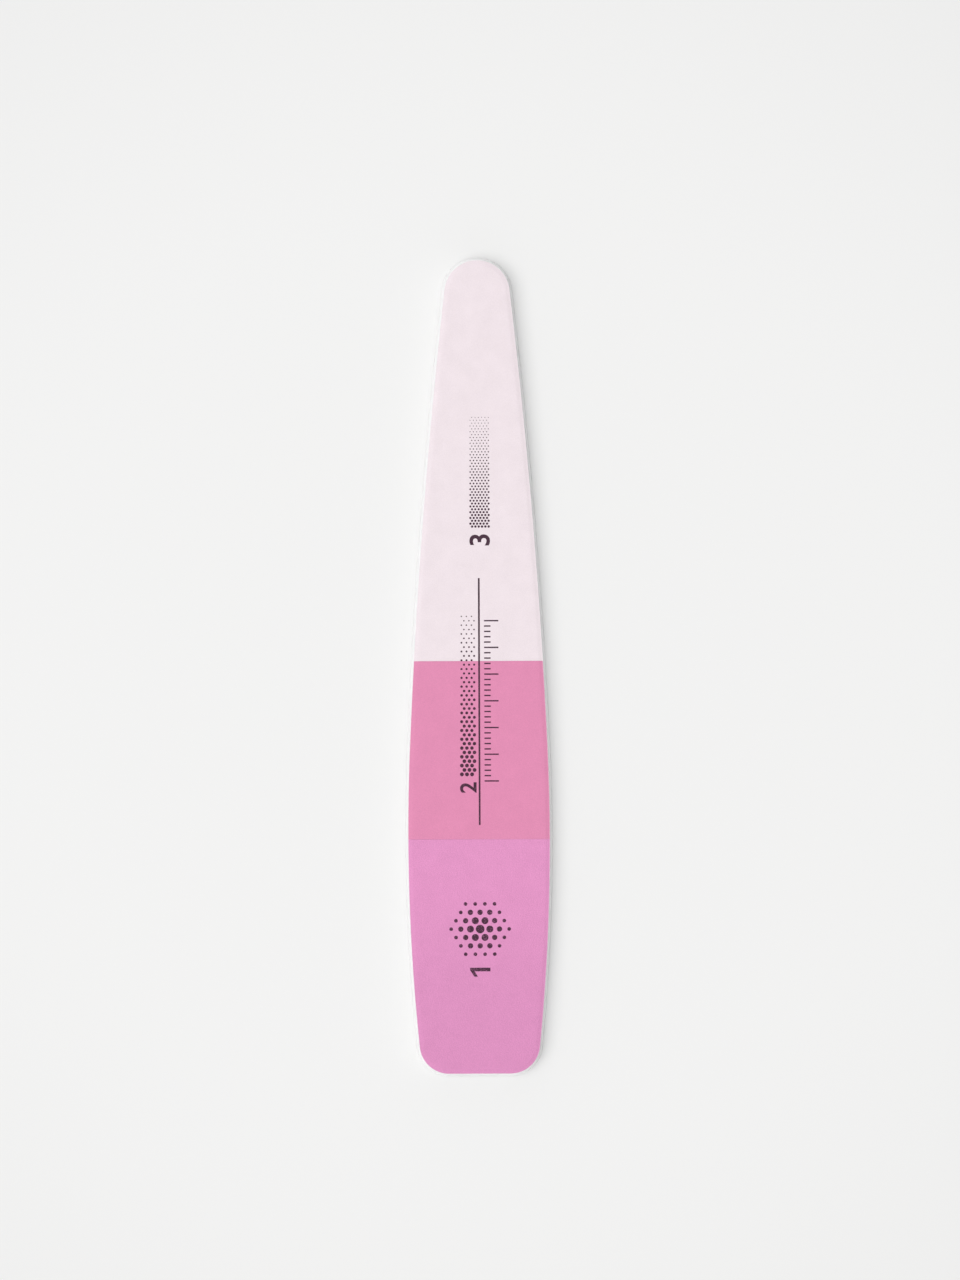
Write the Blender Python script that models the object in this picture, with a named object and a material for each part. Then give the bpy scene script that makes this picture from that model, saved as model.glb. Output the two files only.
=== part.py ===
"""Nail buffer: a flat hand tool, glued up from abrasive sheets, foam and a stiff core board, then die-cut.

Metres, +Z up. The origin is the middle of the back face, and +Y points to the narrow tip.
Stations are distances along the buffer from its wide end.
"""

from math import asin, atan2, cos, hypot, pi, sin, sqrt

import bmesh
import bpy

# Outline of the die, at the level of the core board, where the buffer is widest
LENGTH = 0.178
WIDTH = 0.0321
BELLY_STATION = 0.052
BELLY_RADIUS = 0.45
FLANK_STATION = 0.072
TIP_RADIUS = 0.00775
BASE_CORNER_RADIUS = 0.0071

# Where one abrasive sheet ends and the next begins
BUFFING_STATION = 0.0516
SHINING_STATION = 0.0903
SEAM_GAP = 0.00012

# Thickness of each layer, and the air that keeps neighbouring meshes apart
CORE_THICKNESS = 0.0006
CORE_BOND_THICKNESS = 0.00005
FOAM_THICKNESS = 0.00156
SHEET_BOND_THICKNESS = 0.00005
SHEET_THICKNESS = 0.00025
LAYER_AIR = 0.00001

# The cut edge: foam that springs out past the sheets, and a rim of each face that the die presses down
FOAM_BULGE = 0.00065
SHOULDER_TURN = 4 * pi / 9
RIM_WIDTH = 0.0011
RIM_DROP = 0.00014
CORE_SETBACK = 0.0001

# Facets
CORNER_STEPS = 7
BELLY_STEPS = 5
SHOULDER_STEPS = 3
FLANK_STEPS = 9
TIP_STEPS = 12
RIM_STEPS = 3
WALL_STEPS = 7


def arc_points(centre, radius, start, end, steps):
    """Points along an arc, where start and end are the headings of its first and last outward normal."""
    headings = [start + (end - start) * step / steps for step in range(steps + 1)]
    return [(centre[0] + radius * cos(turn), centre[1] + radius * sin(turn)) for turn in headings]


def flank_circle(start, outward, tip_centre):
    """The circle that leaves start with the normal outward and touches the tip's: its centre and radius."""
    to_tip = (tip_centre[0] - start[0], tip_centre[1] - start[1])
    depth = to_tip[0] * outward[0] + to_tip[1] * outward[1]
    radius = (TIP_RADIUS**2 - hypot(*to_tip) ** 2) / (2 * (depth + TIP_RADIUS))
    return (start[0] - radius * outward[0], start[1] - radius * outward[1]), radius


def right_side(inset):
    """The outline from the base to the tip, moved inwards by inset: five arcs, each tangent to the next."""
    belly_centre = (WIDTH / 2 - BELLY_RADIUS, BELLY_STATION)
    flank_turn = asin((FLANK_STATION - BELLY_STATION) / BELLY_RADIUS)
    outward = (cos(flank_turn), sin(flank_turn))
    flank_start = (belly_centre[0] + BELLY_RADIUS * outward[0], FLANK_STATION)

    tip_centre = (0, LENGTH - TIP_RADIUS)
    flank_centre, flank_radius = flank_circle(flank_start, outward, tip_centre)
    reach = flank_radius - TIP_RADIUS
    tip_turn = atan2((tip_centre[1] - flank_centre[1]) / reach, (tip_centre[0] - flank_centre[0]) / reach)

    drop = BELLY_STATION - BASE_CORNER_RADIUS
    corner_reach = sqrt((BELLY_RADIUS - BASE_CORNER_RADIUS) ** 2 - drop**2)
    corner_centre = (belly_centre[0] + corner_reach, BASE_CORNER_RADIUS)
    corner_turn = -atan2(drop, corner_reach)

    points = arc_points(corner_centre, BASE_CORNER_RADIUS - inset, -pi / 2, corner_turn, CORNER_STEPS)
    points += arc_points(belly_centre, BELLY_RADIUS - inset, corner_turn, 0, BELLY_STEPS)[1:]
    points += arc_points(belly_centre, BELLY_RADIUS - inset, 0, flank_turn, SHOULDER_STEPS)[1:]
    points += arc_points(flank_centre, flank_radius - inset, flank_turn, tip_turn, FLANK_STEPS)[1:]
    points += arc_points(tip_centre, TIP_RADIUS - inset, tip_turn, pi / 2, TIP_STEPS)[1:]
    return points


def outline(inset):
    """The whole outline, anticlockwise from the base and centred on the origin."""
    right = right_side(inset)
    left = [(-x, y) for x, y in reversed(right[:-1])]
    return [(x, y - LENGTH / 2) for x, y in right + left]


def flat_face(inset, height):
    """A mesh of one flat face inside the outline, and that face."""
    bm = bmesh.new()
    face = bm.faces.new([bm.verts.new((x, y, height)) for x, y in outline(inset)])
    face.normal_update()
    return bm, face


def draw_in(bm, face, steps):
    """Insets a face again and again, where each step says how far inwards and how far up it goes."""
    for inwards, upwards in steps:
        bmesh.ops.inset_region(
            bm, faces=[face], thickness=inwards, depth=upwards, use_boundary=True, use_even_offset=True
        )


def rim_steps():
    """Steps up the rim that the die presses down, from the cut edge to the flat of the face."""
    rises = [RIM_DROP * (1 - cos(pi * step / RIM_STEPS)) / 2 for step in range(RIM_STEPS + 1)]
    return [(RIM_WIDTH / RIM_STEPS, after - before) for before, after in zip(rises, rises[1:])]


def wall_steps(height):
    """Steps up the foam's cut wall, upright beside the core board and turned inwards at the shoulder."""
    turns = [SHOULDER_TURN * step / WALL_STEPS for step in range(WALL_STEPS + 1)]
    insets = [FOAM_BULGE * (1 - cos(turn)) / (1 - cos(SHOULDER_TURN)) for turn in turns]
    rises = [height * sin(turn) / sin(SHOULDER_TURN) for turn in turns]
    return [(insets[step + 1] - insets[step], rises[step + 1] - rises[step]) for step in range(WALL_STEPS)]


def foam_mesh(low, high):
    """A foam layer: flat on the core board, with a bulging wall and a pressed rim."""
    bm, face = flat_face(0, low)
    draw_in(bm, face, wall_steps(high - RIM_DROP - low))
    draw_in(bm, face, rim_steps())
    bmesh.ops.edgeloop_fill(bm, edges=[edge for edge in bm.edges if edge.is_boundary])
    return bm


def film_mesh(low, high, start, end):
    """A sheet or its adhesive along the pressed rim, from one station to another, where None is the outline."""
    bm, face = flat_face(FOAM_BULGE, low - RIM_DROP)
    draw_in(bm, face, rim_steps())
    for station, away in ((start, -1), (end, 1)):
        if station is not None:
            bmesh.ops.bisect_plane(
                bm,
                geom=bm.verts[:] + bm.edges[:] + bm.faces[:],
                plane_co=(0, station - LENGTH / 2, 0),
                plane_no=(0, away, 0),
                clear_outer=True,
            )
    grown = bmesh.ops.extrude_face_region(bm, geom=bm.faces[:])
    top = [item for item in grown["geom"] if isinstance(item, bmesh.types.BMVert)]
    bmesh.ops.translate(bm, verts=top, vec=(0, 0, high - low))
    return bm


def plate_curve(name, thickness):
    """A flat plate inside the outline, as a filled curve."""
    curve = bpy.data.curves.new(name, "CURVE")
    curve.dimensions = "2D"
    curve.fill_mode = "BOTH"
    curve.extrude = thickness / 2
    points = outline(CORE_SETBACK)
    spline = curve.splines.new("POLY")
    spline.use_cyclic_u = True
    spline.points.add(len(points) - 1)
    for point, (x, y) in zip(spline.points, points):
        point.co = (x, y, 0, 1)
    return curve


def smooth_mesh(name, bm):
    """A mesh whose long curves are shaded smooth and whose cut edges stay crisp."""
    bmesh.ops.recalc_face_normals(bm, faces=bm.faces[:])
    mesh = bpy.data.meshes.new(name)
    bm.to_mesh(mesh)
    bm.free()
    mesh.shade_smooth()
    mesh.set_sharp_from_angle(angle=pi / 6)
    return mesh


def place(name, data, material, height, side="front"):
    """Puts a piece in the buffer, turned over about its long axis where it belongs to the back half."""
    if not data.materials:
        data.materials.append(material)
    piece = bpy.data.objects.new(name, data)
    piece.location.z = layer_levels()["sheet"][1] + (height if side == "front" else -height)
    piece.rotation_euler.y = 0 if side == "front" else pi
    bpy.data.collections["nail_buffer"].objects.link(piece)
    return piece


def make_material(name, colour, roughness):
    """A plain dielectric finish."""
    material = bpy.data.materials.new(name)
    material.use_nodes = True
    shader = material.node_tree.nodes["Principled BSDF"]
    shader.inputs["Base Color"].default_value = (*colour, 1)
    shader.inputs["Roughness"].default_value = roughness
    shader.inputs["Metallic"].default_value = 0
    material.diffuse_color = (*colour, 1)
    return material


def layer_levels():
    """Underside and top of each layer of the front half, from the mid-plane of the sandwich."""
    levels = {}
    level = CORE_THICKNESS / 2
    for layer, thickness in (
        ("core_bond", CORE_BOND_THICKNESS),
        ("foam", FOAM_THICKNESS),
        ("sheet_bond", SHEET_BOND_THICKNESS),
        ("sheet", SHEET_THICKNESS),
    ):
        level += LAYER_AIR
        levels[layer] = (level, level + thickness)
        level += thickness
    return levels


def build_core(material, bond_material):
    """The stiff board that runs through the middle of the sandwich, and the glue on both its sides."""
    place("core_board", plate_curve("core_board", CORE_THICKNESS), material, 0)
    glue = plate_curve("core_adhesive", CORE_BOND_THICKNESS)
    for side in ("front", "back"):
        place(f"{side}_core_adhesive", glue, bond_material, sum(layer_levels()["core_bond"]) / 2, side)


def build_foam(material):
    """The foam layer on each side of the core board."""
    mesh = smooth_mesh("foam", foam_mesh(*layer_levels()["foam"]))
    for side in ("front", "back"):
        place(f"{side}_foam", mesh, material, 0, side)


def build_film(name, layer, start, end, material):
    """One film of a layer, on both faces."""
    mesh = smooth_mesh(name, film_mesh(*layer_levels()[layer], start, end))
    for side in ("front", "back"):
        place(f"{side}_{name}", mesh, material, 0, side)


def build_faces(materials, bond_material):
    """The three abrasive sheets of each face, butted together, each on its own adhesive."""
    first_seam = (BUFFING_STATION - SEAM_GAP / 2, BUFFING_STATION + SEAM_GAP / 2)
    second_seam = (SHINING_STATION - SEAM_GAP / 2, SHINING_STATION + SEAM_GAP / 2)
    spans = {
        "smoothing": (None, first_seam[0]),
        "buffing": (first_seam[1], second_seam[0]),
        "shining": (second_seam[1], None),
    }
    for zone, (start, end) in spans.items():
        build_film(f"{zone}_adhesive", "sheet_bond", start, end, bond_material)
        build_film(f"{zone}_sheet", "sheet", start, end, materials[zone])


def build():
    """The whole buffer."""
    for old in list(bpy.data.objects):
        bpy.data.objects.remove(old)
    collection = bpy.data.collections.new("nail_buffer")
    bpy.context.scene.collection.children.link(collection)

    adhesive = make_material("clear_adhesive", (0.84, 0.82, 0.76), 0.3)
    build_core(make_material("white_core_board", (0.86, 0.87, 0.89), 0.35), adhesive)
    build_foam(make_material("white_foam", (0.95, 0.92, 0.94), 0.85))
    abrasives = {
        "smoothing": make_material("lilac_abrasive", (0.74, 0.3, 0.54), 0.8),
        "buffing": make_material("rose_abrasive", (0.77, 0.28, 0.46), 0.8),
        "shining": make_material("pale_abrasive", (0.89, 0.79, 0.82), 0.65),
    }
    build_faces(abrasives, adhesive)


build()
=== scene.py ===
from math import asin, atan2, cos, hypot, pi, radians, sin, sqrt, tau

import bmesh
import bpy
from mathutils import Euler, Matrix, Vector, geometry


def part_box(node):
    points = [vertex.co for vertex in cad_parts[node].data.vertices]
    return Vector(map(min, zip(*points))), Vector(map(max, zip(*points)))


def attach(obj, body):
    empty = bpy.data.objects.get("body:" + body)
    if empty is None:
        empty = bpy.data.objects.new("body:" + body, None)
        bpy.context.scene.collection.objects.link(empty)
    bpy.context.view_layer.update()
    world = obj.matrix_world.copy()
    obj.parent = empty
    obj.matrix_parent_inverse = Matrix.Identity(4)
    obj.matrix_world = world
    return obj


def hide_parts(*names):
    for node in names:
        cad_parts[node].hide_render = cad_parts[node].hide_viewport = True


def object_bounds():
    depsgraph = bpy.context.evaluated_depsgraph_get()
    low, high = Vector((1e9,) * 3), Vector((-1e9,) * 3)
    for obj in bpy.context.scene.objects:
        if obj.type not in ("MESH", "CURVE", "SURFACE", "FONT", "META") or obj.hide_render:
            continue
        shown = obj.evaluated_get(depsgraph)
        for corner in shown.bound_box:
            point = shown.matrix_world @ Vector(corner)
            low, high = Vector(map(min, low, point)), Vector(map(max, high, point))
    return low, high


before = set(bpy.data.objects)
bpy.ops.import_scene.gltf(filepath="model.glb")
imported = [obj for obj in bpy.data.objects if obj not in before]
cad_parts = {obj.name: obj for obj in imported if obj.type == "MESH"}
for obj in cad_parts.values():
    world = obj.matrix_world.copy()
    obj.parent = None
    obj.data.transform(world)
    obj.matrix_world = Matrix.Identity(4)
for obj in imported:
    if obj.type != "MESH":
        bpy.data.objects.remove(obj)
cad_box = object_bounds()


# Core board
# A stiff sheet of white polystyrene runs through the middle of the sandwich, and the die cuts it last.
# Only its cut edge shows, which is smooth and a little torn in fine upright lines.
BOARD_WHITE = (0.9, 0.9, 0.91)
BOARD_SHADE = (0.78, 0.79, 0.81)
BOARD_ROUGHNESS = (0.3, 0.55)
DIE_LINE_WIDTH = 0.00014
DIE_LINE_STRETCH = (1, 1, 12)
DIE_LINE_DEPTH = 0.00001


class Signal:
    """One output of a node. Arithmetic on it adds Math nodes to its own tree."""

    def __init__(self, socket):
        self.socket = socket

    def math(self, operation, first, second):
        """A Math node in the tree that this signal comes from."""
        tree = NodeTree(self.socket.id_data)
        return tree.node("ShaderNodeMath", {"operation": operation}, {0: first, 1: second})

    def __add__(self, other):
        return self.math("ADD", self, other)

    def __sub__(self, other):
        return self.math("SUBTRACT", self, other)

    def __rsub__(self, other):
        return self.math("SUBTRACT", other, self)

    def __mul__(self, other):
        return self.math("MULTIPLY", self, other)

    def __truediv__(self, other):
        return self.math("DIVIDE", self, other)

    def __rtruediv__(self, other):
        return self.math("DIVIDE", other, self)

    __radd__ = __add__
    __rmul__ = __mul__


class NodeTree:
    """A tree of nodes, filled by one method."""

    def __init__(self, tree):
        self.tree = tree

    def node(self, kind, settings=None, inputs=None, output=0):
        """Adds a node, sets it up, feeds its sockets values or signals, and gives one of its outputs."""
        added = self.tree.nodes.new(kind)
        for setting, value in (settings or {}).items():
            setattr(added, setting, value)
        for socket, value in (inputs or {}).items():
            if isinstance(value, Signal):
                self.tree.links.new(value.socket, added.inputs[socket])
            else:
                added.inputs[socket].default_value = value
        return Signal(added.outputs[output]) if added.outputs else None

    def ramp(self, signal, start, end):
        """How far a signal has gone from start to end, eased at both ends."""
        inputs = {"Value": signal, "From Min": start, "From Max": end}
        return self.node("ShaderNodeMapRange", {"interpolation_type": "SMOOTHSTEP"}, inputs)

    def axis(self, vector, letter):
        """One of the three numbers of a vector or a colour."""
        return self.node("ShaderNodeSeparateXYZ", None, {0: vector}, letter)


class Finish(NodeTree):
    """The material of a surface, whose patterns have their sizes in metres."""

    COLOUR_INPUTS = (6, 7)
    COLOUR_OUTPUT = 2

    def __init__(self, name, **even_values):
        self.material = bpy.data.materials.new(name)
        self.material.use_nodes = True
        super().__init__(self.material.node_tree)
        self.shader = self.tree.nodes["Principled BSDF"]
        for socket, value in even_values.items():
            self.shader.inputs[socket.replace("_", " ")].default_value = value

    def place(self, stretch=(1, 1, 1)):
        """Where a point lies on the buffer. A pattern is longer along the axes with a stretch above 1."""
        spot = self.node("ShaderNodeTexCoord", output="Object")
        scale = [1 / share for share in stretch]
        return self.node("ShaderNodeMapping", inputs={"Vector": spot, "Scale": scale})

    def clouds(self, size, detail=2.0, stretch=(1, 1, 1)):
        """Soft random patches of about the given size, from 0 to 1."""
        inputs = {"Vector": self.place(stretch), "Scale": 1 / size, "Detail": detail}
        return self.node("ShaderNodeTexNoise", inputs=inputs)

    def cells(self, size, output="Distance"):
        """Packed cells of the given size: the Distance from a cell's middle, or each cell's own Color."""
        inputs = {"Vector": self.place(), "Scale": 1 / size}
        return self.node("ShaderNodeTexVoronoi", None, inputs, output)

    def blend(self, factor, first, second):
        """A colour between two others."""
        inputs = {"Factor": factor}
        for index, colour in zip(self.COLOUR_INPUTS, (first, second)):
            inputs[index] = colour if isinstance(colour, Signal) else (*colour, 1)
        return self.node("ShaderNodeMix", {"data_type": "RGBA"}, inputs, self.COLOUR_OUTPUT)

    def paint(self, **signals):
        """Feeds the shader's sockets."""
        for socket, signal in signals.items():
            self.tree.links.new(signal.socket, self.shader.inputs[socket.replace("_", " ")])

    def relief(self, height, depth):
        """Bumps that are depth metres high where height is 1."""
        self.paint(Normal=self.node("ShaderNodeBump", inputs={"Height": height, "Distance": depth}))


def spread(signal, ends):
    """A number that goes from the first end to the second as a signal goes from 0 to 1."""
    return ends[0] + (ends[1] - ends[0]) * signal


def cut_polystyrene():
    """White polystyrene with the fine upright lines of the die."""
    board = Finish("cut_polystyrene", IOR=1.59)
    lines = board.clouds(DIE_LINE_WIDTH, stretch=DIE_LINE_STRETCH)
    board.paint(
        Base_Color=board.blend(lines, BOARD_SHADE, BOARD_WHITE),
        Roughness=spread(lines, BOARD_ROUGHNESS),
    )
    board.relief(lines, DIE_LINE_DEPTH)
    return board.material


def refinish(material, *nodes):
    """Gives CAD nodes their finish."""
    for node in nodes:
        for material_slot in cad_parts[node].material_slots:
            material_slot.material = material


refinish(cut_polystyrene(), "core_board")


# Glue films
# A thin film of clear contact adhesive holds each layer of the sandwich to the next. Only its edge shows,
# as a hairline with a faint straw tint, unevenly squeezed out and a little shinier than the foam.
SIDES = ("front", "back")
GLUE_LAYERS = ("core", "smoothing", "buffing", "shining")
GLUE_CLEAR = (0.9, 0.89, 0.86)
GLUE_STRAW = (0.84, 0.82, 0.75)
GLUE_ROUGHNESS = (0.22, 0.52)
GLUE_PATCH = 0.0009
GLUE_BLISTER = 0.0003
GLUE_BLISTER_DEPTH = 0.00001


def dried_glue():
    """Clear adhesive that has dried with small blisters."""
    glue = Finish("dried_glue", IOR=1.49)
    patches = glue.clouds(GLUE_PATCH, detail=3)
    glue.paint(
        Base_Color=glue.blend(patches, GLUE_STRAW, GLUE_CLEAR),
        Roughness=spread(patches, GLUE_ROUGHNESS),
    )
    glue.relief(glue.cells(GLUE_BLISTER), GLUE_BLISTER_DEPTH)
    return glue.material


refinish(dried_glue(), *(f"{side}_{layer}_adhesive" for side in SIDES for layer in GLUE_LAYERS))


# Foam layers
# White closed-cell foam is glued to both sides of the core board. The die squeezes it while cutting, so its
# wall springs back past the sheets afterwards, and shows the opened cells as fine pits.
BUFFER_BASE, BUFFER_TIP = (corner.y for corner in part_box("front_foam"))
FOAM_LOW, FOAM_HIGH = (corner.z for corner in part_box("front_foam"))
HALF_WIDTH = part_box("front_foam")[1].x
HALF_HEIGHT = cad_box[1].z / 2
# Stations are distances along the buffer from its wide end
BELLY_STATION = 0.052
BELLY_RADIUS = 0.45
FLANK_STATION = 0.072
TIP_RADIUS = 0.00775
BASE_CORNER_RADIUS = 0.0071
# The foam springs out past the sheets, and the die presses down the rim of each face
FOAM_BULGE = HALF_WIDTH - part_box("front_buffing_sheet")[1].x
SHEET_THICKNESS = 0.00025
RIM_WIDTH = 0.0011
RIM_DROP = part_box("front_buffing_sheet")[1].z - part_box("front_buffing_sheet")[0].z - SHEET_THICKNESS
SHOULDER_TURN = radians(80)
FOAM_SPACING = 0.00011
FOAM_RIM_ROWS = 3
FOAM_CREASE = radians(50)


def flank_circle(start, outward, tip_centre):
    """The circle that leaves start with the normal outward and touches the tip's: its centre and radius."""
    to_tip = (tip_centre[0] - start[0], tip_centre[1] - start[1])
    depth = to_tip[0] * outward[0] + to_tip[1] * outward[1]
    radius = (TIP_RADIUS**2 - hypot(*to_tip) ** 2) / (2 * (depth + TIP_RADIUS))
    return (start[0] - radius * outward[0], start[1] - radius * outward[1]), radius


def right_arcs():
    """The arcs of the outline from the base to the tip: centre, radius, first heading and last heading."""
    belly_centre = (HALF_WIDTH - BELLY_RADIUS, BELLY_STATION)
    flank_turn = asin((FLANK_STATION - BELLY_STATION) / BELLY_RADIUS)
    outward = (cos(flank_turn), sin(flank_turn))
    flank_start = (belly_centre[0] + BELLY_RADIUS * outward[0], FLANK_STATION)

    tip_centre = (0, BUFFER_TIP - BUFFER_BASE - TIP_RADIUS)
    flank_centre, flank_radius = flank_circle(flank_start, outward, tip_centre)
    reach = flank_radius - TIP_RADIUS
    tip_turn = atan2((tip_centre[1] - flank_centre[1]) / reach, (tip_centre[0] - flank_centre[0]) / reach)

    drop = BELLY_STATION - BASE_CORNER_RADIUS
    corner_reach = sqrt((BELLY_RADIUS - BASE_CORNER_RADIUS) ** 2 - drop**2)
    corner_centre = (belly_centre[0] + corner_reach, BASE_CORNER_RADIUS)
    corner_turn = -atan2(drop, corner_reach)
    return (
        (corner_centre, BASE_CORNER_RADIUS, -pi / 2, corner_turn),
        (belly_centre, BELLY_RADIUS, corner_turn, flank_turn),
        (flank_centre, flank_radius, flank_turn, tip_turn),
        (tip_centre, TIP_RADIUS, tip_turn, pi / 2),
    )


def outline(inset, spacing):
    """The die's outline moved inwards, anticlockwise from the base, with as many points at every inset."""
    right = []
    for centre, radius, start, end in right_arcs():
        steps = max(2, round(radius * (end - start) / spacing))
        reach = radius - inset
        for step in range(1 if right else 0, steps + 1):
            turn = start + (end - start) * step / steps
            right.append((centre[0] + reach * cos(turn), centre[1] + reach * sin(turn)))
    left = [(-x, y) for x, y in reversed(right[:-1])]
    half_base, base_y = right[0]
    corner_centre = right_arcs()[0][0]
    base_steps = round(2 * corner_centre[0] / spacing)
    base = [(half_base * (2 * step / base_steps - 1), base_y) for step in range(1, base_steps)]
    return [(x, y + BUFFER_BASE) for x, y in right + left + base]


def ring_faces(rings, count):
    """Quads between rings of count points each, counted from the first ring."""
    faces = []
    for ring in range(rings - 1):
        low, high = ring * count, (ring + 1) * count
        faces += [(low + i, low + (i + 1) % count, high + (i + 1) % count, high + i) for i in range(count)]
    return faces


def foam_body():
    """A foam layer of the front half: bulging wall, pressed rim, flat top and flat underside."""
    wall_top = FOAM_HIGH - RIM_DROP
    wall_rows = round((wall_top - FOAM_LOW) / FOAM_SPACING)
    steps = []
    for row in range(wall_rows + 1):
        turn = SHOULDER_TURN * row / wall_rows
        inset = FOAM_BULGE * (1 - cos(turn)) / (1 - cos(SHOULDER_TURN))
        steps.append((inset, FOAM_LOW + (wall_top - FOAM_LOW) * sin(turn) / sin(SHOULDER_TURN)))
    for row in range(1, FOAM_RIM_ROWS + 1):
        rise = RIM_DROP * (1 - cos(pi * row / FOAM_RIM_ROWS)) / 2
        steps.append((FOAM_BULGE + RIM_WIDTH * row / FOAM_RIM_ROWS, wall_top + rise))
    points = []
    for inset, height in steps:
        points += [(x, y, height) for x, y in outline(inset, FOAM_SPACING)]
    count = len(points) // len(steps)
    faces = ring_faces(len(steps), count)
    faces.append(tuple(reversed(range(count))))
    faces.append(tuple(range(len(points) - count, len(points))))

    body = bpy.data.meshes.new("foam_body")
    body.from_pydata(points, [], faces)
    wall = body.attributes.new("wall", "FLOAT", "POINT")
    climbs = [min(1, row / wall_rows) for row in range(len(steps))]
    shares = [sqrt(1 - (2 * climb - 1) ** 2) for climb in climbs]
    wall.data.foreach_set("value", [share for share in shares for _ in range(count)])
    return body


SOCKET_KINDS = {int: "NodeSocketInt", float: "NodeSocketFloat", bpy.types.Material: "NodeSocketMaterial"}


def new_growth(name, **sizes):
    """A Geometry Nodes tree with a mesh input and named sizes, and its inputs as signals."""
    tree = bpy.data.node_groups.new(name, "GeometryNodeTree")
    tree.interface.new_socket("Geometry", in_out="OUTPUT", socket_type="NodeSocketGeometry")
    tree.interface.new_socket("Geometry", in_out="INPUT", socket_type="NodeSocketGeometry")
    for size, value in sizes.items():
        kind = SOCKET_KINDS[type(value)]
        tree.interface.new_socket(size.replace("_", " "), in_out="INPUT", socket_type=kind)
    growth = NodeTree(tree)
    start = tree.nodes.new("NodeGroupInput")
    given = {socket.name.replace(" ", "_"): Signal(socket) for socket in start.outputs if socket.name}
    return growth, given


def close_growth(growth, shape, material):
    """Ends a tree: makes instances real and gives them their material."""
    real = growth.node("GeometryNodeRealizeInstances", inputs={"Geometry": shape})
    done = growth.node("GeometryNodeSetMaterial", inputs={"Geometry": real, "Material": material})
    growth.node("NodeGroupOutput", inputs={0: done})


def grow(name, mesh, growth, sizes):
    """Runs a tree on a mesh, and gives the result as a plain mesh."""
    carrier = bpy.data.objects.new(name, mesh)
    bpy.context.scene.collection.objects.link(carrier)
    modifier = carrier.modifiers.new(name, "NODES")
    modifier.node_group = growth.tree
    for item in growth.tree.interface.items_tree:
        size = item.name.replace(" ", "_")
        if item.in_out == "INPUT" and size in sizes:
            modifier[item.identifier] = sizes[size]
    bpy.context.view_layer.update()
    evaluated = carrier.evaluated_get(bpy.context.evaluated_depsgraph_get())
    grown = bpy.data.meshes.new_from_object(evaluated)
    bpy.data.objects.remove(carrier)
    return grown


PIT_SHARES = (0.15, 0.65)


def foam_pits(**sizes):
    """Pits where the die opened the foam's cells, and the slight waves of the cut."""
    growth, given = new_growth("foam_pits", **sizes)
    spot = growth.node("GeometryNodeInputPosition")
    seeded = growth.node("ShaderNodeVectorMath", {"operation": "ADD"}, {0: spot, 1: given["Seed"]})
    inputs = {"Vector": seeded, "Scale": 1.0 / given["Cell_Size"]}
    cell = growth.node("ShaderNodeTexVoronoi", None, inputs, "Distance")
    pit = 1.0 - growth.ramp(cell, *PIT_SHARES)
    inputs = {"Vector": seeded, "Scale": 1.0 / given["Wave_Length"], "Detail": 1.0}
    wave = growth.node("ShaderNodeTexNoise", None, inputs)
    wall = growth.node("GeometryNodeInputNamedAttribute", {"data_type": "FLOAT"}, {"Name": "wall"})
    depth = (pit * given["Pit_Depth"] + wave * given["Wave_Depth"]) * wall * -1.0
    normal = growth.node("GeometryNodeInputNormal")
    inwards = growth.node("ShaderNodeVectorMath", {"operation": "SCALE"}, {0: normal, "Scale": depth})
    moved = growth.node("GeometryNodeSetPosition", inputs={"Geometry": given["Geometry"], "Offset": inwards})
    close_growth(growth, moved, given["Material"])
    return growth


FOAM_WHITE = (0.99, 0.98, 0.985)
FOAM_PIT_PAINTED_SHADE = (0.975, 0.96, 0.965)
FOAM_ROUGHNESS = (0.95, 0.8)
FOAM_CELL = 0.0003
FOAM_SMALL_CELL = 0.45 * FOAM_CELL
PORE_SHARES = (0.05, 0.5)
SMALL_PORE_SHARES = (0.1, 0.6)
PORE_DEPTH = 0.00004


def cut_foam():
    """White foam with a fine skin of cells, slightly see-through at its thin walls, with painted shade in
    its pits.
    """
    foam = Finish(
        "cut_foam",
        IOR=1.4,
        Specular_IOR_Level=0.3,
        Sheen_Weight=1.0,
        Sheen_Roughness=0.6,
        Subsurface_Weight=0.5,
        Subsurface_Radius=(1.0, 0.9, 0.95),
        Subsurface_Scale=0.0006,
    )
    pores = foam.ramp(foam.cells(FOAM_CELL), *PORE_SHARES)
    small_pores = foam.ramp(foam.cells(FOAM_SMALL_CELL), *SMALL_PORE_SHARES)
    opened = (pores + small_pores) / 2
    # The middles of the opened cells are painted a little darker: painted shade in the pits.
    foam.paint(
        Base_Color=foam.blend(opened, FOAM_PIT_PAINTED_SHADE, FOAM_WHITE),
        Roughness=spread(opened, FOAM_ROUGHNESS),
    )
    foam.relief(opened, PORE_DEPTH)
    return foam.material


def turned_over(mesh):
    """A copy of a front piece's mesh, turned about the buffer's long axis to the back half."""
    middle = Matrix.Translation((0, 0, HALF_HEIGHT))
    copied = mesh.copy()
    copied.transform(middle @ Matrix.Rotation(pi, 4, "Y") @ middle.inverted())
    return copied


def add_piece(name, mesh, stands_for=None):
    """Puts a finished mesh in the scene, on the buffer's one body."""
    mesh.name = name
    piece = bpy.data.objects.new(name, mesh)
    bpy.context.scene.collection.objects.link(piece)
    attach(piece, "root")
    if stands_for:
        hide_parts(stands_for)
    return piece


foam_sizes = {
    "Cell_Size": FOAM_CELL,
    "Pit_Depth": 0.00004,
    "Wave_Length": 0.006,
    "Wave_Depth": 0.00003,
    "Seed": 0.0,
    "Material": cut_foam(),
}
foam_tree = foam_pits(**foam_sizes)
plain_foam = foam_body()
for seed, side in enumerate(SIDES):
    foam_mesh = grow("foam", plain_foam, foam_tree, {**foam_sizes, "Seed": float(seed)})
    foam_mesh.shade_smooth()
    foam_mesh.set_sharp_from_angle(angle=FOAM_CREASE)
    foam_mesh = foam_mesh if side == "front" else turned_over(foam_mesh)
    foam_layer = add_piece(f"{side}_foam_layer", foam_mesh, f"{side}_foam")


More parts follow.
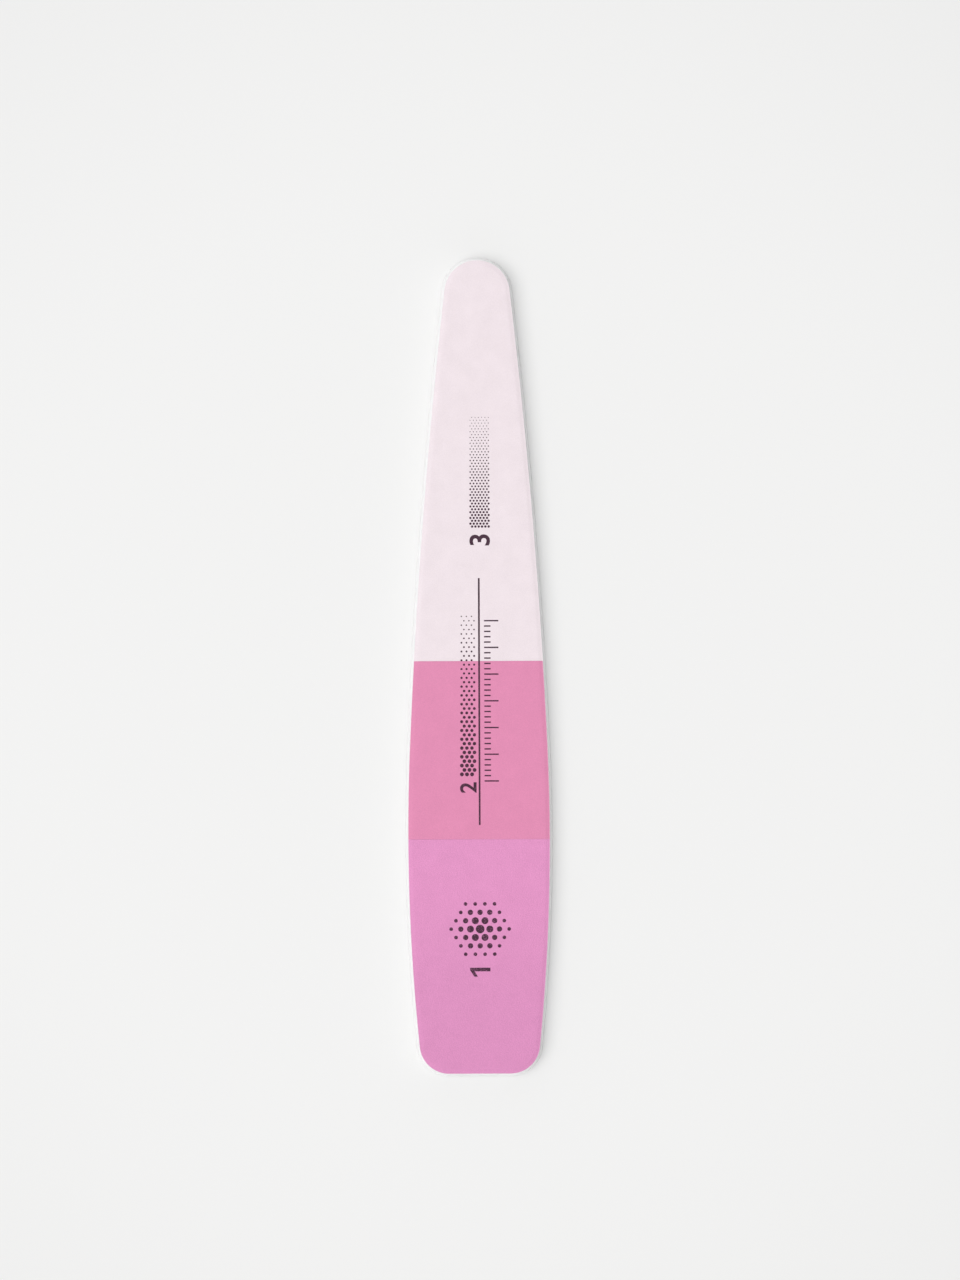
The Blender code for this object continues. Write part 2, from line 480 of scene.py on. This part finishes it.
# Abrasive sheets
# Three sheets of white backing paper, coated with tinted resin that holds the abrasive, lie edge to edge on
# each face. They are bonded to the foam, and the die presses their rim down and bares the paper there.
GRAIN_RELIEF = 0.00003
FACE_HEIGHT = cad_box[1].z - GRAIN_RELIEF
PAPER_UNDERSIDE = cad_box[1].z - SHEET_THICKNESS
COAT_THICKNESS = 0.00006
SEAM_AIR = 0.00002
RIM_ROWS = 9
RIM_SPACING = 0.0004
FACE_SPACING = 0.001
SHEET_CREASE = radians(40)
WELD_DISTANCE = 1e-7
SWELL_DEPTH = 0.000012
SWELLS = (
    {"length": 0.031, "heading": 0.4, "share": 1.0},
    {"length": 0.019, "heading": 2.1, "share": 0.7},
    {"length": 0.0115, "heading": 3.9, "share": 0.5},
)


def face_swell(x, y):
    """How far a face lies below its full height, because the foam under it is a little uneven."""
    lift = 0
    for swell in SWELLS:
        heading = swell["heading"]
        run = x * cos(heading) + y * sin(heading)
        lift += swell["share"] * cos(tau * run / swell["length"] + heading)
    return SWELL_DEPTH * (lift / sum(swell["share"] for swell in SWELLS) - 1) / 2


def lattice(half_x, low_y, high_y, spacing):
    """Points of a triangular lattice over a rectangle."""
    points = []
    rows = int((high_y - low_y) / (spacing * sqrt(3) / 2))
    columns = int(2 * half_x / spacing)
    for row in range(rows + 1):
        shift = spacing / 2 if row % 2 else 0
        y = low_y + row * spacing * sqrt(3) / 2
        points += [(-half_x + shift + column * spacing, y) for column in range(columns + 1)]
    return points


def inside(point, loop):
    """Whether a point lies inside the convex loop, half a lattice step clear of it."""
    x, y = point
    turns = (
        (after[0] - before[0]) * (y - before[1]) - (after[1] - before[1]) * (x - before[0])
        for before, after in zip(loop, loop[1:] + loop[:1])
    )
    clear = FACE_SPACING / 2 * RIM_SPACING
    return all(turn > clear for turn in turns)


TRIANGLES_INSIDE = 1
TRIANGLE_EPSILON = 1e-9


def face_sheet():
    """The whole top of a face as a bmesh: rings down the pressed rim, and a lattice over the flat."""
    insets = [RIM_WIDTH * row / RIM_ROWS for row in range(RIM_ROWS + 1)]
    rings = [outline(FOAM_BULGE + inset, RIM_SPACING) for inset in insets]
    flat_loop = rings[-1]
    count = len(flat_loop)
    middle = lattice(HALF_WIDTH, BUFFER_BASE, BUFFER_TIP, FACE_SPACING)
    spots = [Vector(point) for point in flat_loop]
    spots += [Vector(point) for point in middle if inside(point, flat_loop)]
    border = [(i, (i + 1) % count) for i in range(count)]
    triangles = geometry.delaunay_2d_cdt(spots, border, [], TRIANGLES_INSIDE, TRIANGLE_EPSILON)
    flat_points, _, flat_faces, *_ = triangles

    bm = bmesh.new()
    distance = bm.verts.layers.float.new("edge_distance")
    for inset, ring in zip(insets, rings):
        drop = RIM_DROP * (1 + cos(pi * inset / RIM_WIDTH)) / 2
        for x, y in ring:
            point = bm.verts.new((x, y, FACE_HEIGHT - drop + face_swell(x, y)))
            point[distance] = inset
    bm.verts.ensure_lookup_table()
    for corners in ring_faces(len(rings), count):
        bm.faces.new([bm.verts[corner] for corner in corners])
    flat = [bm.verts.new((x, y, FACE_HEIGHT + face_swell(x, y))) for x, y in flat_points]
    for point in flat:
        point[distance] = RIM_WIDTH
    for corners in flat_faces:
        bm.faces.new([flat[corner] for corner in corners])
    bmesh.ops.remove_doubles(bm, verts=bm.verts[:], dist=WELD_DISTANCE)
    return bm


PAPER_INDEX = 1


def cut_sheet(face, start, end):
    """One sheet from one seam to the next. Its first material is its coat, and its second its paper."""
    bm = face.copy()
    for seam, away in ((start, -1), (end, 1)):
        if seam is not None:
            whole = bm.verts[:] + bm.edges[:] + bm.faces[:]
            cut = {"plane_co": (0, seam, 0), "plane_no": (0, away, 0), "clear_outer": True}
            bmesh.ops.bisect_plane(bm, geom=whole, **cut)
    coat_top = bm.faces[:]
    loops = [edge.link_loops[0] for edge in bm.edges if edge.is_boundary]
    border = [(loop.vert, loop.link_loop_next.vert) for loop in loops]

    def lowered(points, drop):
        """Copies of points below them, found by the point above."""
        return {point: bm.verts.new(point.co - Vector((0, 0, drop)), point) for point in points}

    underside = lowered(bm.verts[:], FACE_HEIGHT - PAPER_UNDERSIDE)
    coat_edge = lowered([before for before, _ in border], COAT_THICKNESS)
    for before, after in border:
        bm.faces.new((coat_edge[before], coat_edge[after], after, before))
        paper_edge = (underside[before], underside[after], coat_edge[after], coat_edge[before])
        bm.faces.new(paper_edge).material_index = PAPER_INDEX
    for top in coat_top:
        bm.faces.new([underside[point] for point in reversed(top.verts[:])]).material_index = PAPER_INDEX
    bmesh.ops.recalc_face_normals(bm, faces=bm.faces[:])
    mesh = bpy.data.meshes.new("sheet")
    bm.to_mesh(mesh)
    bm.free()
    mesh.shade_smooth()
    mesh.set_sharp_from_angle(angle=SHEET_CREASE)
    return mesh


PAPER_WHITE = (0.93, 0.9, 0.91)
PAPER_SHADE = (0.84, 0.81, 0.82)
FIBRE_WIDTH = 0.00011
FIBRE_STRETCH = (1, 1, 0.3)
FIBRE_DEPTH = 0.00002


def cut_paper():
    """The cut edge of the backing paper, with its fibres."""
    paper = Finish("cut_paper", Roughness=0.85)
    fibres = paper.clouds(FIBRE_WIDTH, detail=3, stretch=FIBRE_STRETCH)
    paper.paint(Base_Color=paper.blend(fibres, PAPER_SHADE, PAPER_WHITE))
    paper.relief(fibres, FIBRE_DEPTH)
    return paper.material


RESIN_CLOUD = 0.004
DEEP_SHARE = 0.86
LIGHT_SHARE = 1.12
LIGHT_LIFT = 0.01
PEAK_HEIGHTS = (0.4, 1.0)
# The peak weight paints the grain tops lighter and the gaps between grains darker: painted shade.
TINT_WEIGHTS = {"cell": 0.25, "peak_height_and_painted_shade": 0.3, "cloud": 0.35, "even": 0.07}
COAT_ROUGHNESS_SPREAD = 0.2
# Where the painted shade towards the base end starts and where it is full
PAINTED_FALLOFF_ENDS = (-0.045, -0.075)
TEAR_LENGTH = 0.0003
TEAR_WIDTH = 0.00012
BARED_ENDS = (0.00002, 0.00014)
BARED_SHARE = 0.55


def abrasive_coat(name, colour, grain, relief, roughness, painted_falloff=0.0):
    """Tinted resin over packed grains, in faint clouds, with bare paper where the die sheared the edge."""
    coat = Finish(name, IOR=1.5, Specular_IOR_Level=0.35)
    own_tint = coat.axis(coat.cells(grain, "Color"), "X")
    peak_height_and_painted_shade = (1 - coat.cells(grain)) * spread(own_tint, PEAK_HEIGHTS)
    clouds = coat.clouds(RESIN_CLOUD, detail=4)
    deep = [value * DEEP_SHARE for value in colour]
    light = [min(1, value * LIGHT_SHARE + LIGHT_LIFT) for value in colour]
    # The coat is painted darker towards the base end: painted shade where the light falls off.
    painted_falloff_shade = painted_falloff * coat.ramp(coat.axis(coat.place(), "Y"), *PAINTED_FALLOFF_ENDS)
    # Each grain's own tone and the clouds are the coat's own colour; the peak share adds painted shade
    # between grains.
    mottle_and_painted_shade = own_tint * TINT_WEIGHTS["cell"] + peak_height_and_painted_shade * TINT_WEIGHTS["peak_height_and_painted_shade"] + clouds * TINT_WEIGHTS["cloud"]
    tinted = coat.blend(mottle_and_painted_shade + TINT_WEIGHTS["even"] - painted_falloff_shade, deep, light)
    distance = coat.node("ShaderNodeAttribute", {"attribute_name": "edge_distance"}, output="Fac")
    torn = distance + (coat.clouds(TEAR_LENGTH) - 0.5) * TEAR_WIDTH
    bared = 1 - coat.ramp(torn, *BARED_ENDS)
    coat.paint(
        Base_Color=coat.blend(bared * BARED_SHARE, tinted, PAPER_WHITE),
        Roughness=roughness - COAT_ROUGHNESS_SPREAD * (own_tint - 0.5),
    )
    coat.relief(peak_height_and_painted_shade, relief)
    return coat.material


LILAC = (0.814, 0.315, 0.592)
ROSE = (0.802, 0.28, 0.478)
PALE = (0.898, 0.789, 0.828)
smoothing_seam = (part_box("front_smoothing_sheet")[1].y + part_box("front_buffing_sheet")[0].y) / 2
buffing_seam = (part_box("front_buffing_sheet")[1].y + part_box("front_shining_sheet")[0].y) / 2
SHEET_SPANS = {
    "smoothing": (None, smoothing_seam - SEAM_AIR / 2),
    "buffing": (smoothing_seam + SEAM_AIR / 2, buffing_seam - SEAM_AIR / 2),
    "shining": (buffing_seam + SEAM_AIR / 2, None),
}

backing = cut_paper()
lilac_coat = abrasive_coat("lilac_coat", LILAC, grain=0.00015, relief=0.00006, roughness=0.8, painted_falloff=0.22)
rose_coat = abrasive_coat("rose_coat", ROSE, grain=0.00011, relief=0.00004, roughness=0.78)
pale_coat = abrasive_coat("pale_coat", PALE, grain=0.00007, relief=0.000012, roughness=0.62)
coats = {"smoothing": lilac_coat, "buffing": rose_coat, "shining": pale_coat}
whole_face = face_sheet()
sheet_meshes = {}
for sheet, span in SHEET_SPANS.items():
    sheet_meshes[sheet] = cut_sheet(whole_face, *span)
    for material in (coats[sheet], backing):
        sheet_meshes[sheet].materials.append(material)
    for side in SIDES:
        sheet_mesh = sheet_meshes[sheet].copy() if side == "front" else turned_over(sheet_meshes[sheet])
        add_piece(f"{side}_{sheet}_face", sheet_mesh, f"{side}_{sheet}_sheet")


# Abrasive grains
# Crushed mineral stands out of the resin on the two coarser sheets, in larger grains on the lilac sheet than
# on the rose one. The pale sheet is a polishing film, with no grain that can be seen or felt.
GRAIN_SIZES = {
    "smoothing": {"Grain_Radius": 0.00005, "Spacing": 0.00012, "Density": 8.9e6, "Sink": 0.000021},
    "buffing": {"Grain_Radius": 0.000034, "Spacing": 0.0001, "Density": 1.47e7, "Sink": 0.000008},
}
GRAIN_COLOURS = {"smoothing": LILAC, "buffing": ROSE}
GRAIN_SHAPE = {"Segments": 4, "Rings": 2}
LEAST_GRAIN_SHARE = 0.55
LEVEL_LIMIT = 0.5
RANDOM_FLOAT_OUTPUT = 1
SEED_STEP = 10


def scattered_grains(**sizes):
    """Sharp grains scattered over the coat, each turned, squashed and tinted its own way."""
    growth, given = new_growth("scattered_grains", **sizes)
    coat = growth.node("GeometryNodeMaterialSelection", inputs={"Material": given["Coat"]})
    upwards = growth.axis(growth.node("GeometryNodeInputNormal"), "Z")
    level = growth.node("ShaderNodeMath", {"operation": "GREATER_THAN"}, {0: upwards, 1: LEVEL_LIMIT})
    chosen = growth.node("FunctionNodeBooleanMath", {"operation": "AND"}, {0: coat, 1: level})
    inputs = {
        "Mesh": given["Geometry"],
        "Selection": chosen,
        "Distance Min": given["Spacing"],
        "Density Max": given["Density"],
        "Seed": given["Seed"],
    }
    poisson = {"distribute_method": "POISSON"}
    spots = growth.node("GeometryNodeDistributePointsOnFaces", poisson, inputs, "Points")
    sunk = growth.node("ShaderNodeCombineXYZ", None, {"Z": given["Sink"] * -1.0})
    spots = growth.node("GeometryNodeSetPosition", None, {"Geometry": spots, "Offset": sunk})
    grain = growth.node("GeometryNodeMeshUVSphere", None, {**GRAIN_SHAPE, "Radius": given["Grain_Radius"]})
    vector = {"data_type": "FLOAT_VECTOR"}
    inputs = {"Min": (0, 0, 0), "Max": (tau, tau, tau), "Seed": given["Seed"]}
    turn = growth.node("FunctionNodeRandomValue", vector, inputs)
    inputs = {"Min": (LEAST_GRAIN_SHARE,) * 3, "Max": (1, 1, 1), "Seed": given["Seed"] + 1}
    size = growth.node("FunctionNodeRandomValue", vector, inputs)
    inputs = {"Points": spots, "Instance": grain, "Rotation": turn, "Scale": size}
    grains = growth.node("GeometryNodeInstanceOnPoints", None, inputs)
    inputs = {"Seed": given["Seed"] + 2}
    tint = growth.node("FunctionNodeRandomValue", {"data_type": "FLOAT"}, inputs, RANDOM_FLOAT_OUTPUT)
    inputs = {"Geometry": grains, "Name": "tint", "Value": tint}
    on_grains = {"data_type": "FLOAT", "domain": "INSTANCE"}
    tinted = growth.node("GeometryNodeStoreNamedAttribute", on_grains, inputs)
    close_growth(growth, tinted, given["Material"])
    return growth


MINERAL_BARE = (0.9, 0.82, 0.87)
MINERAL_ROUGHNESS = (0.55, 0.25)
BARE_TINTS = (0.7, 1.0)
BARE_SHARE = 0.5
CHIP_SIZE = 0.00002
WETTED_SHARES = (0.9, 1.08)


def mineral(name, colour):
    """Grains that are mostly wetted by the tinted resin, and here and there bare and glassy."""
    grain = Finish(name, IOR=1.6)
    tint = grain.node("ShaderNodeAttribute", {"attribute_name": "tint"}, output="Fac")
    bare = grain.ramp(tint, *BARE_TINTS)
    wetted_ends = ([min(1, value * share) for value in colour] for share in WETTED_SHARES)
    wetted = grain.blend(grain.clouds(CHIP_SIZE), *wetted_ends)
    grain.paint(
        Base_Color=grain.blend(bare * BARE_SHARE, wetted, MINERAL_BARE),
        Roughness=spread(bare, MINERAL_ROUGHNESS),
    )
    return grain.material


grain_tree = None
for sheet, sizes in GRAIN_SIZES.items():
    sizes.update(Coat=coats[sheet], Material=mineral(f"{sheet}_mineral", GRAIN_COLOURS[sheet]), Seed=0)
    grain_tree = grain_tree or scattered_grains(**sizes)
    for seed, side in enumerate(SIDES):
        grain_mesh = grow("grains", sheet_meshes[sheet], grain_tree, {**sizes, "Seed": SEED_STEP * seed})
        grain_mesh = grain_mesh if side == "front" else turned_over(grain_mesh)
        add_piece(f"{side}_{sheet}_grains", grain_mesh)


# Print
# Dark ink is screen-printed on the front face only, in a film that rides over the grain. Plain numerals
# read towards the tip, and rows of dots after each tell how coarse its sheet is, beside a rule with ticks.
INK_DARK = (0.042, 0.014, 0.029)
INK_LIGHT = (0.066, 0.027, 0.048)
INK_CLOUD = 0.003
INK_ROUGHNESS = (0.55, 0.75)
FLECK_SIZE = 0.00022
FLECK_SHARES = (0.5, 0.72)
FLECKS_LOST_ON_ROSE = 0.5
FLECKS_LOST_ON_PALE = 0.4
FLECK_STRENGTHS = (0.01, 0.31)
FLECK_DEPTH = 0.000008


def screen_ink():
    """Dark plum ink. Flecks of each coat show through it, and the coarser the sheet, the more of them."""
    ink = Finish("screen_ink", Specular_IOR_Level=0.1)
    along = ink.axis(ink.place(), "Y")
    past_smoothing = ink.ramp(along, smoothing_seam - SEAM_AIR, smoothing_seam + SEAM_AIR)
    past_buffing = ink.ramp(along, buffing_seam - SEAM_AIR, buffing_seam + SEAM_AIR)
    under = ink.blend(past_buffing, ink.blend(past_smoothing, LILAC, ROSE), PALE)
    coarse = 1 - FLECKS_LOST_ON_ROSE * past_smoothing - FLECKS_LOST_ON_PALE * past_buffing
    flecks = ink.ramp(ink.clouds(FLECK_SIZE), *FLECK_SHARES) * coarse
    dark = ink.blend(ink.clouds(INK_CLOUD), INK_DARK, INK_LIGHT)
    ink.paint(
        Base_Color=ink.blend(spread(flecks, FLECK_STRENGTHS), dark, under),
        Roughness=spread(flecks, INK_ROUGHNESS),
    )
    ink.relief(flecks, FLECK_DEPTH)
    return ink.material


INK_THICKNESS = 0.000012
INK_LIFT = 0.000016


def lay_ink(name, mesh, move=None):
    """Lays printed shapes, drawn flat around height 0, on the front face."""
    if move:
        mesh.transform(move)
    for vertex in mesh.vertices:
        vertex.co.z += FACE_HEIGHT + INK_LIFT - INK_THICKNESS / 2 + face_swell(vertex.co.x, vertex.co.y)
    return add_piece(name, mesh)


def printed_bars(bars):
    """Thin closed bars as one mesh, each from its lower left to its upper right corner in short steps."""
    bm = bmesh.new()
    for (left, low), (right, high) in bars:
        steps = max(1, round((high - low) / FACE_SPACING))
        for step in range(steps):
            middle = Vector(((left + right) / 2, low + (high - low) * (step + 0.5) / steps, 0))
            size = Vector((right - left, (high - low) / steps, INK_THICKNESS))
            fitted = Matrix.Translation(middle) @ Matrix.Diagonal((*size, 1))
            bmesh.ops.create_cube(bm, size=1, matrix=fitted)
    bmesh.ops.remove_doubles(bm, verts=bm.verts[:], dist=WELD_DISTANCE)
    shared = [face for face in bm.faces if all(len(edge.link_faces) > 2 for edge in face.edges)]
    bmesh.ops.delete(bm, geom=shared, context="FACES")
    mesh = bpy.data.meshes.new("bars")
    bm.to_mesh(mesh)
    bm.free()
    return mesh


PRINT_AXIS = 0.00015
RULE_WIDTH = 0.00038
RULE_LOW = -0.0343
RULE_HIGH = 0.0193
ink = screen_ink()
rule_left = PRINT_AXIS - RULE_WIDTH / 2
rule_right = PRINT_AXIS + RULE_WIDTH / 2
rule = printed_bars([((rule_left, RULE_LOW), (rule_right, RULE_HIGH))])
rule.materials.append(ink)
lay_ink("front_rule", rule)

TICKS = 31
TICK_PITCH = 0.00116
TICK_START = -0.0249
TICK_WIDTH = 0.0003
TICK_LEFT = PRINT_AXIS + 0.0011
TICK_LENGTHS = (0.0031, 0.0014, 0.0014, 0.0014, 0.0014)
tick_bars = []
for number in range(TICKS):
    low = TICK_START + number * TICK_PITCH
    right = TICK_LEFT + TICK_LENGTHS[number % len(TICK_LENGTHS)]
    tick_bars.append(((TICK_LEFT, low), (right, low + TICK_WIDTH)))
ticks = printed_bars(tick_bars)
ticks.materials.append(ink)
lay_ink("front_scale", ticks)


# Corners of the one in shares of its height, and the typeface's own numeral height in shares of its size
ONE_SHARES = ((0.3, 0), (0.48, 0), (0.48, 1), (0.35, 1), (0.04, 0.79), (0.04, 0.62), (0.3, 0.78))
NUMERAL_CAP_SHARE = 0.69


def drawn_one(height):
    """A plain numeral one with a flag, as a filled outline."""
    shape = bpy.data.curves.new("numeral_1", "CURVE")
    shape.dimensions = "2D"
    shape.fill_mode = "BOTH"
    spline = shape.splines.new("POLY")
    spline.use_cyclic_u = True
    spline.points.add(len(ONE_SHARES) - 1)
    for point, (across, up) in zip(spline.points, ONE_SHARES):
        point.co = (across * height, up * height, 0, 1)
    return shape


def typed_numeral(text, height, weight):
    """A numeral in a plain typeface, thickened by weight."""
    letters = bpy.data.curves.new(f"numeral_{text}", "FONT")
    letters.body = text
    letters.size = height / NUMERAL_CAP_SHARE
    letters.offset = weight
    return letters


def numeral(text, height, weight):
    """A numeral's printed shape as a mesh, upright and from its lower left corner."""
    letters = drawn_one(height) if text == "1" else typed_numeral(text, height, weight)
    letters.extrude = INK_THICKNESS / 2
    carrier = bpy.data.objects.new(letters.name, letters)
    bpy.context.scene.collection.objects.link(carrier)
    bpy.context.view_layer.update()
    mesh = bpy.data.meshes.new_from_object(carrier.evaluated_get(bpy.context.evaluated_depsgraph_get()))
    bpy.data.objects.remove(carrier)
    bm = bmesh.new()
    bm.from_mesh(mesh)
    bmesh.ops.remove_doubles(bm, verts=bm.verts[:], dist=WELD_DISTANCE)
    bmesh.ops.recalc_face_normals(bm, faces=bm.faces[:])
    bm.to_mesh(mesh)
    bm.free()
    mesh.materials.clear()
    mesh.materials.append(ink)
    return mesh


DOT_SIDES = 22
STAGGER = 0.5
LAST_RING_SHARE = 1.01


def step_dots(**sizes):
    """Staggered dots that shrink row by row or, where Radial is 1, outwards from a hexagon's middle."""
    growth, given = new_growth("step_dots", **sizes)
    rows_middle = (given["Rows"] - 1.0) / 2.0
    columns_middle = (given["Columns"] - 1.0) / 2.0
    radial = given["Radial"]
    points = growth.node("GeometryNodePoints", None, {"Count": given["Columns"] * given["Rows"]})
    index = growth.node("GeometryNodeInputIndex")
    row = growth.node("ShaderNodeMath", {"operation": "FLOOR"}, {0: (index + 0.5) / given["Columns"]})
    column = index - row * given["Columns"]
    off_middle = growth.node("ShaderNodeMath", {"operation": "ABSOLUTE"}, {0: row - rows_middle})
    odd = growth.node("ShaderNodeMath", {"operation": "MODULO"}, {0: off_middle, 1: 2.0})
    steps_across = column - columns_middle + odd * STAGGER - STAGGER / 2 * (1.0 - radial)
    across = steps_across * given["Pitch"]
    along = (row - rows_middle * radial) * given["Pitch"] * (sqrt(3) / 2)
    place = growth.node("ShaderNodeCombineXYZ", None, {"X": across, "Y": along})
    placed = growth.node("GeometryNodeSetPosition", None, {"Geometry": points, "Position": place})

    sideways = growth.node("ShaderNodeMath", {"operation": "ABSOLUTE"}, {0: steps_across})
    slanted = sideways + off_middle * STAGGER
    ring = growth.node("ShaderNodeMath", {"operation": "MAXIMUM"}, {0: off_middle, 1: slanted})
    share = ring / columns_middle * radial + row / (given["Rows"] - 1.0) * (1.0 - radial)
    within = growth.node("ShaderNodeMath", {"operation": "LESS_THAN"}, {0: share, 1: LAST_RING_SHARE})
    radius = given["Largest"] * (1.0 - share) + given["Smallest"] * share
    scale = growth.node("ShaderNodeCombineXYZ", None, {"X": radius, "Y": radius, "Z": 1.0})
    inputs = {"Vertices": DOT_SIDES, "Radius": 1.0, "Depth": given["Thickness"]}
    dot = growth.node("GeometryNodeMeshCylinder", None, inputs)
    inputs = {"Points": placed, "Selection": within, "Instance": dot, "Scale": scale}
    dots = growth.node("GeometryNodeInstanceOnPoints", None, inputs)
    close_growth(growth, dots, given["Material"])
    return growth


NUMERALS = {
    "1": {"start": -0.0674, "middle": PRINT_AXIS, "height": 0.0044, "weight": 0.0, "gap": 0.0105},
    "2": {"start": -0.0274, "middle": -0.0023, "height": 0.0034, "weight": 0.00009, "gap": 0.0041},
    "3": {"start": 0.0261, "middle": 0.00037, "height": 0.0042, "weight": 0.0001, "gap": 0.0044},
}
DOTS = {
    "1": dict(Columns=7, Rows=7, Pitch=0.0021, Largest=0.00094, Smallest=0.0004, Radial=1.0),
    "2": dict(Columns=3, Rows=37, Pitch=0.0011, Largest=0.00043, Smallest=0.00014, Radial=0.0),
    "3": dict(Columns=6, Rows=39, Pitch=0.00072, Largest=0.00026, Smallest=0.00009, Radial=0.0),
}
dot_tree = None
for text, step in NUMERALS.items():
    half_height = step["height"] / 2
    numeral_mesh = numeral(text, step["height"], step["weight"])
    foot = Matrix.Translation((step["middle"] + half_height, step["start"], 0))
    lay_ink(f"front_numeral_{text}", numeral_mesh, foot @ Matrix.Rotation(pi / 2, 4, "Z"))
    dot_sizes = {**DOTS[text], "Thickness": INK_THICKNESS, "Material": ink}
    dot_tree = dot_tree or step_dots(**dot_sizes)
    dots = grow("dots", bpy.data.meshes.new("dots"), dot_tree, dot_sizes)
    first_row = Matrix.Translation((step["middle"], step["start"] + step["gap"], 0))
    lay_ink(f"front_dots_{text}", dots, first_row)


# Stage
# The buffer lies on a sheet of smooth white paper, under a large softbox that reaches far out on its left.
# The room around it is pale, brightest towards its two ends and darkest on the right.
FLOOR_SIZE = 6.0
FLOOR_WHITE = (0.9, 0.9, 0.895)
# Towards this grey the paper carries painted shade, darker away from the buffer.
FLOOR_PAINTED_SHADE = (0.85, 0.85, 0.845)
FLOOR_BOUNCE = (0.6, 0.6, 0.6)
FLOOR_GLOW = 0.4
FLOOR_PAINTED_SHADE_FADE = (0.09, 0.24)
FLOOR_FIBRE = 0.0006
FLOOR_FIBRE_SHARE = 0.1
NO_GLOW = (0, 0, 0)


def shown(tree):
    """1 for rays that show the surroundings: the camera's own, and those off gloss or through glass."""
    camera = tree.node("ShaderNodeLightPath", output="Is Camera Ray")
    glossy = tree.node("ShaderNodeLightPath", output="Is Glossy Ray")
    through = tree.node("ShaderNodeLightPath", output="Is Transmission Ray")
    seen = tree.node("ShaderNodeMath", {"operation": "MAXIMUM"}, {0: camera, 1: glossy})
    return tree.node("ShaderNodeMath", {"operation": "MAXIMUM"}, {0: seen, 1: through})


def floor_paper():
    """Smooth white paper with painted shade, a little darker away from the buffer. It glows faintly and
    bounces less light.
    """
    paper = Finish("floor_paper", Roughness=0.9, Specular_IOR_Level=0.1, Emission_Strength=1.0)
    away = paper.node("ShaderNodeVectorMath", {"operation": "LENGTH"}, {0: paper.place()}, "Value")
    fibres = paper.clouds(FLOOR_FIBRE, detail=3)
    painted_shade_and_fibres = paper.ramp(away, *FLOOR_PAINTED_SHADE_FADE) + FLOOR_FIBRE_SHARE * fibres
    ends = (FLOOR_WHITE, FLOOR_PAINTED_SHADE)
    lit = paper.blend(painted_shade_and_fibres, *([value * (1 - FLOOR_GLOW) for value in end] for end in ends))
    own = paper.blend(painted_shade_and_fibres, *([value * FLOOR_GLOW for value in end] for end in ends))
    seen = shown(paper)
    paper.paint(
        Base_Color=paper.blend(seen, FLOOR_BOUNCE, lit),
        Emission_Color=paper.blend(seen, NO_GLOW, own),
    )
    return paper.material


def make_floor():
    """A wide sheet just under the buffer."""
    bm = bmesh.new()
    bmesh.ops.create_grid(bm, x_segments=2, y_segments=2, size=FLOOR_SIZE / 2)
    mesh = bpy.data.meshes.new("floor")
    bm.to_mesh(mesh)
    bm.free()
    mesh.materials.append(floor_paper())
    floor = bpy.data.objects.new("floor", mesh)
    bpy.context.scene.collection.objects.link(floor)


ROOM_WHITE = 0.95
ROOM_LIGHT = 0.192
ROOM_TILT = 0.75
ROOM_ENDS = 5.0


def light_room():
    """A pale room, brighter towards its ends and darker on the right, which shows as plain white."""
    room = bpy.data.worlds.new("room")
    room.use_nodes = True
    sky = NodeTree(room.node_tree)
    seen = shown(sky)
    heading = sky.node("ShaderNodeTexCoord", output="Generated")
    rightwards = sky.axis(heading, "X")
    endwards = sky.axis(heading, "Y")
    background = room.node_tree.nodes["Background"]
    brightness = (1 - ROOM_TILT * rightwards + ROOM_ENDS * endwards * endwards) * ROOM_LIGHT
    strength = seen * ROOM_WHITE + (1 - seen) * brightness
    room.node_tree.links.new(strength.socket, background.inputs["Strength"])
    background.inputs["Color"].default_value = (1, 1, 1, 1)
    bpy.context.scene.world = room


SOFTBOX_WIDTH = 3.0
SOFTBOX_LENGTH = 3.9
SOFTBOX_POWER = 117.2
SOFTBOX_PLACE = (-1.36, -0.35, 3.76)


def add_softbox():
    """A large softbox high above the buffer, from just right of it to far on its left."""
    lamp = bpy.data.lights.new("softbox", "AREA")
    lamp.shape = "RECTANGLE"
    lamp.size = SOFTBOX_WIDTH
    lamp.size_y = SOFTBOX_LENGTH
    lamp.energy = SOFTBOX_POWER
    softbox = bpy.data.objects.new("softbox", lamp)
    softbox.location = SOFTBOX_PLACE
    softbox.rotation_euler = Vector(SOFTBOX_PLACE).to_track_quat("Z", "Y").to_euler()
    bpy.context.scene.collection.objects.link(softbox)


make_floor()
light_room()
add_softbox()


# Camera
# It looks straight down from a tripod, so far above the buffer that the sides of its wall hardly show, and
# it is turned a quarter of a degree against the buffer.
CAMERA_HEIGHT = 0.9
FRAME_HEIGHT = 0.2779
FRAME_MIDDLE = (0.00037, 0.00586)
CAMERA_TURN = radians(-0.23)

camera_data = bpy.data.cameras.new("camera")
camera_data.lens = camera_data.sensor_width * CAMERA_HEIGHT / FRAME_HEIGHT
camera = bpy.data.objects.new("camera", camera_data)
camera.location = (*FRAME_MIDDLE, cad_box[1].z + CAMERA_HEIGHT)
camera.rotation_euler = Euler((0, 0, CAMERA_TURN))
bpy.context.scene.collection.objects.link(camera)
bpy.context.scene.camera = camera
bpy.context.scene.view_settings.view_transform = "Standard"
